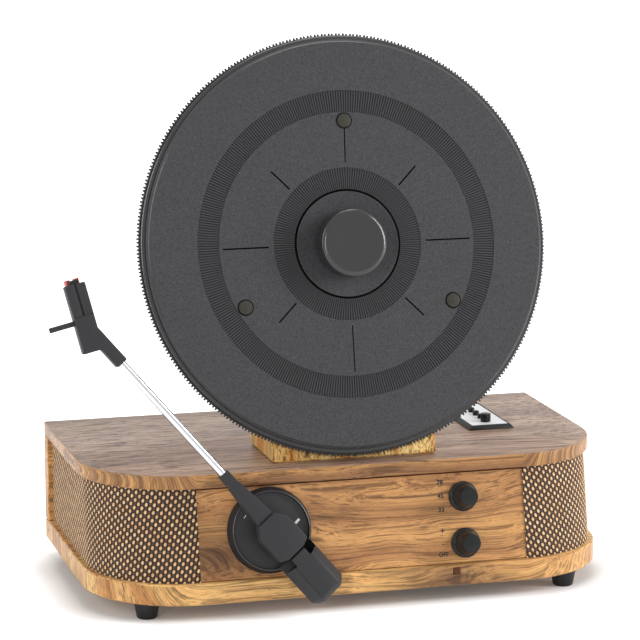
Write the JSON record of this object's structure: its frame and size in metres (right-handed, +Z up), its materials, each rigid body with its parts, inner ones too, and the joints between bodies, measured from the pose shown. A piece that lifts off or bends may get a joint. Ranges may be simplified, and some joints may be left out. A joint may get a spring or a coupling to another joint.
{
  "type": "vertical record player",
  "caption": "Leaning turntable on a low wooden cabinet with rounded corners, grille cloth, front-mounted tonearm, knobs and a top control plate.",
  "frame": {"origin": "middle of the bottom of the bounding box, on the surface that the feet stand on", "axes": "+X to the right seen from the front, -Y out of the front, +Z up"},
  "size_m": [0.4102, 0.2448, 0.3974],
  "materials": {
    "audio_sockets": "nickel plated",
    "back_panel": "satin walnut veneer",
    "bottom_board": "satin oak-toned veneer",
    "cartridge": "satin black",
    "column": "satin walnut veneer",
    "column_back_cover": "satin walnut veneer",
    "control_bezel": "satin black",
    "control_face": "white",
    "counterweight": "satin black paint",
    "drive_belt": "matt black",
    "finger_lift": "satin black",
    "foot_back_left": "matt black",
    "foot_back_right": "matt black",
    "foot_front_left": "matt black",
    "foot_front_right": "matt black",
    "front_panel": "satin oak-toned veneer",
    "headshell": "satin black",
    "left_grille_cloth": "dark brown weave with beige dots",
    "left_grille_frame": "matt black",
    "left_speaker": "pressed steel",
    "left_speaker_board": "plain board",
    "left_speaker_cone": "black paper cone",
    "main_board": "circuit board",
    "mat_stud_1": "dark olive",
    "mat_stud_2": "dark olive",
    "mat_stud_3": "dark olive",
    "motor": "turned steel",
    "motor_pulley": "turned",
    "platter": "dark grey, fine texture",
    "platter_mat": "dark grey, fine texture",
    "power_indicator": "smoked lens",
    "power_inlet": "matt black",
    "push_button_1": "matt black",
    "push_button_2": "matt black",
    "push_button_3": "matt black",
    "record_clamp": "black anodised",
    "right_grille_cloth": "dark brown weave with beige dots",
    "right_grille_frame": "matt black",
    "right_speaker": "pressed steel",
    "right_speaker_board": "plain board",
    "right_speaker_cone": "black paper cone",
    "source_knob": "matt black",
    "speed_knob": "matt black",
    "speed_switch": "bright",
    "spindle": "turned steel",
    "spindle_bearing": "turned steel",
    "stylus": "bright",
    "stylus_holder": "red",
    "terminal_plate": "matt black",
    "tilt_pin": "bright",
    "tonearm_base": "satin black",
    "tonearm_housing": "satin black",
    "tonearm_sleeve": "satin black",
    "tonearm_tube": "polished",
    "tonearm_yoke": "satin black",
    "tooth_ring": "dark grey, fine texture",
    "top_board": "satin walnut veneer",
    "volume_control": "bright",
    "volume_knob": "matt black"
  },
  "bodies": {
    "cabinet": {"audio_sockets": "audio_sockets", "back_panel": "back_panel", "bottom_board": "bottom_board", "column": "column", "column_back_cover": "column_back_cover", "control_bezel": "control_bezel", "control_face": "control_face", "drive_belt": "drive_belt", "foot_back_left": "foot_back_left", "foot_back_right": "foot_back_right", "foot_front_left": "foot_front_left", "foot_front_right": "foot_front_right", "front_panel": "front_panel", "left_grille_cloth": "left_grille_cloth", "left_grille_frame": "left_grille_frame", "left_speaker": "left_speaker", "left_speaker_board": "left_speaker_board", "left_speaker_cone": "left_speaker_cone", "main_board": "main_board", "motor": "motor", "power_indicator": "power_indicator", "power_inlet": "power_inlet", "right_grille_cloth": "right_grille_cloth", "right_grille_frame": "right_grille_frame", "right_speaker": "right_speaker", "right_speaker_board": "right_speaker_board", "right_speaker_cone": "right_speaker_cone", "speed_switch": "speed_switch", "spindle_bearing": "spindle_bearing", "terminal_plate": "terminal_plate", "tonearm_base": "tonearm_base", "top_board": "top_board", "volume_control": "volume_control"},
    "platter": {"platter": "platter", "tooth_ring": "tooth_ring", "platter_mat": "platter_mat", "mat_stud_1": "mat_stud_1", "mat_stud_2": "mat_stud_2", "mat_stud_3": "mat_stud_3", "spindle": "spindle"},
    "clamp": {"record_clamp": "record_clamp"},
    "motor_pulley": {"motor_pulley": "motor_pulley"},
    "arm_yoke": {"tonearm_yoke": "tonearm_yoke", "tilt_pin": "tilt_pin"},
    "tonearm": {"tonearm_housing": "tonearm_housing", "tonearm_sleeve": "tonearm_sleeve", "tonearm_tube": "tonearm_tube", "headshell": "headshell", "finger_lift": "finger_lift", "cartridge": "cartridge", "stylus_holder": "stylus_holder", "stylus": "stylus", "counterweight": "counterweight"},
    "speed_knob": {"speed_knob": "speed_knob"},
    "volume_knob": {"volume_knob": "volume_knob"},
    "source_knob": {"source_knob": "source_knob"},
    "button_1": {"push_button_1": "push_button_1"},
    "button_2": {"push_button_2": "push_button_2"},
    "button_3": {"push_button_3": "push_button_3"}
  },
  "joints": [
    {"name": "platter_spin", "type": "hinge", "parent": "cabinet", "child": "platter", "pos_m": [0.01455, -0.04221, 0.2509], "axis": [0, 0.9781, -0.2079], "continuous": true},
    {"name": "clamp_pull", "type": "slide", "parent": "platter", "child": "clamp", "axis": [0, -0.9781, 0.2079], "range_m": [0, 0.025]},
    {"name": "motor_spin", "type": "hinge", "parent": "cabinet", "child": "motor_pulley", "pos_m": [0.01455, -0.05717, 0.18048], "axis": [0, 0.9781, -0.2079], "continuous": true},
    {"name": "tonearm_swing", "type": "hinge", "parent": "cabinet", "child": "arm_yoke", "pos_m": [-0.05425, -0.08894, 0.05941], "axis": [0, 0.9781, -0.2079], "range_deg": [0, 42]},
    {"name": "tonearm_lift", "type": "hinge", "parent": "arm_yoke", "child": "tonearm", "pos_m": [-0.05425, -0.10655, 0.06315], "axis": [0.7683, 0.1331, 0.6261], "range_deg": [-0.9, 8]},
    {"name": "speed_turn", "type": "hinge", "parent": "cabinet", "child": "speed_knob", "pos_m": [0.08855, -0.08599, 0.0733], "axis": [0, 0.9781, -0.2079], "range_deg": [0, 60]},
    {"name": "volume_turn", "type": "hinge", "parent": "cabinet", "child": "volume_knob", "pos_m": [0.08855, -0.09285, 0.04102], "axis": [0, 0.9781, -0.2079], "range_deg": [0, 280]},
    {"name": "source_turn", "type": "hinge", "parent": "cabinet", "child": "source_knob", "pos_m": [0.13775, 0.00858, 0.1039], "axis": [0, 0, -1], "range_deg": [0, 90]},
    {"name": "button_1_press", "type": "slide", "parent": "cabinet", "child": "button_1", "axis": [0, 0, -1], "range_m": [0, 0.001], "stiffness_N_per_m": 400, "springref_m": -0.001},
    {"name": "button_2_press", "type": "slide", "parent": "cabinet", "child": "button_2", "axis": [0, 0, -1], "range_m": [0, 0.001], "stiffness_N_per_m": 400, "springref_m": -0.001},
    {"name": "button_3_press", "type": "slide", "parent": "cabinet", "child": "button_3", "axis": [0, 0, -1], "range_m": [0, 0.001], "stiffness_N_per_m": 400, "springref_m": -0.001}
  ],
  "couplings": [
    {"joint": "motor_spin", "follows": "platter_spin", "ratio": 9.793}
  ]
}
